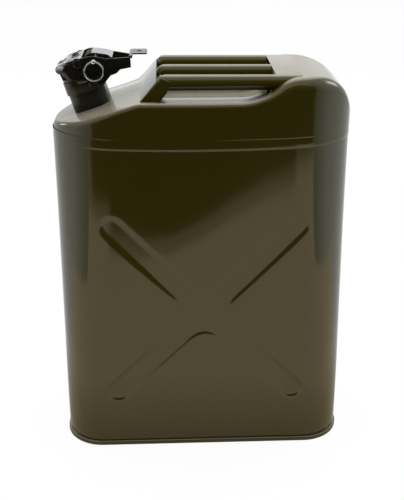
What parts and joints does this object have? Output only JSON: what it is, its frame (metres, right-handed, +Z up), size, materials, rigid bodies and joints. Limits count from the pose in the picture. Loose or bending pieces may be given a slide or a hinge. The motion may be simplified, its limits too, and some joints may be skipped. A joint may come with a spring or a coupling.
{
  "type": "fuel can",
  "caption": "Tall pressed-steel fuel can with crossed grooves, a lapped top, a three-bar handle and a leaning neck with a hinged lever cap, lock pin and ring.",
  "frame": {"origin": "under the middle of the can, on the surface that it stands on", "axes": "+Z up, the front with the visible groove cross faces -Y, the neck and cap are towards -X"},
  "size_m": [0.349, 0.169, 0.4825],
  "materials": {
    "olive_paint": "gloss olive paint",
    "black_paint": "gloss black paint",
    "plated_steel": "bright plating",
    "gasket_rubber": "matt rubber"
  },
  "bodies": {
    "can": {"lower_body": "olive_paint", "bottom_end": "olive_paint", "top_shell": "olive_paint", "handle_stamping": "olive_paint", "handle_liner_front": "olive_paint", "handle_liner_middle": "olive_paint", "handle_liner_rear": "olive_paint", "filler_neck": "black_paint", "mouth_ring": "black_paint", "breather_tube": "plated_steel", "neck_bracket": "black_paint", "catch_studs": "black_paint", "hinge_pin": "black_paint"},
    "cap": {"cap_bridge": "black_paint", "closing_disc": "black_paint", "cap_gasket": "gasket_rubber", "disc_stud": "black_paint", "stud_washer": "black_paint", "pivot_rivets": "black_paint"},
    "lever": {"lever_strap": "black_paint", "lever_plate_front": "black_paint", "lever_plate_rear": "black_paint"},
    "lock_pin": {"lock_pin": "plated_steel"},
    "pull_ring": {"pull_ring": "plated_steel"}
  },
  "joints": [
    {"name": "cap_hinge", "type": "hinge", "parent": "can", "child": "cap", "pos_m": [-0.16033, 0, 0.46337], "axis": [0, -1, 0], "range_deg": [0, 150]},
    {"name": "lever_lift", "type": "hinge", "parent": "cap", "child": "lever", "pos_m": [-0.13965, 0, 0.47199], "axis": [0, -1, 0], "range_deg": [0, 85]},
    {"name": "pin_pull", "type": "slide", "parent": "lever", "child": "lock_pin", "axis": [0, -1, 0], "range_m": [0, 0.06]},
    {"name": "ring_swing", "type": "hinge", "parent": "lock_pin", "child": "pull_ring", "pos_m": [-0.12126, -0.02985, 0.47479], "axis": [-1, 0, 0], "range_deg": [0, 110]}
  ]
}
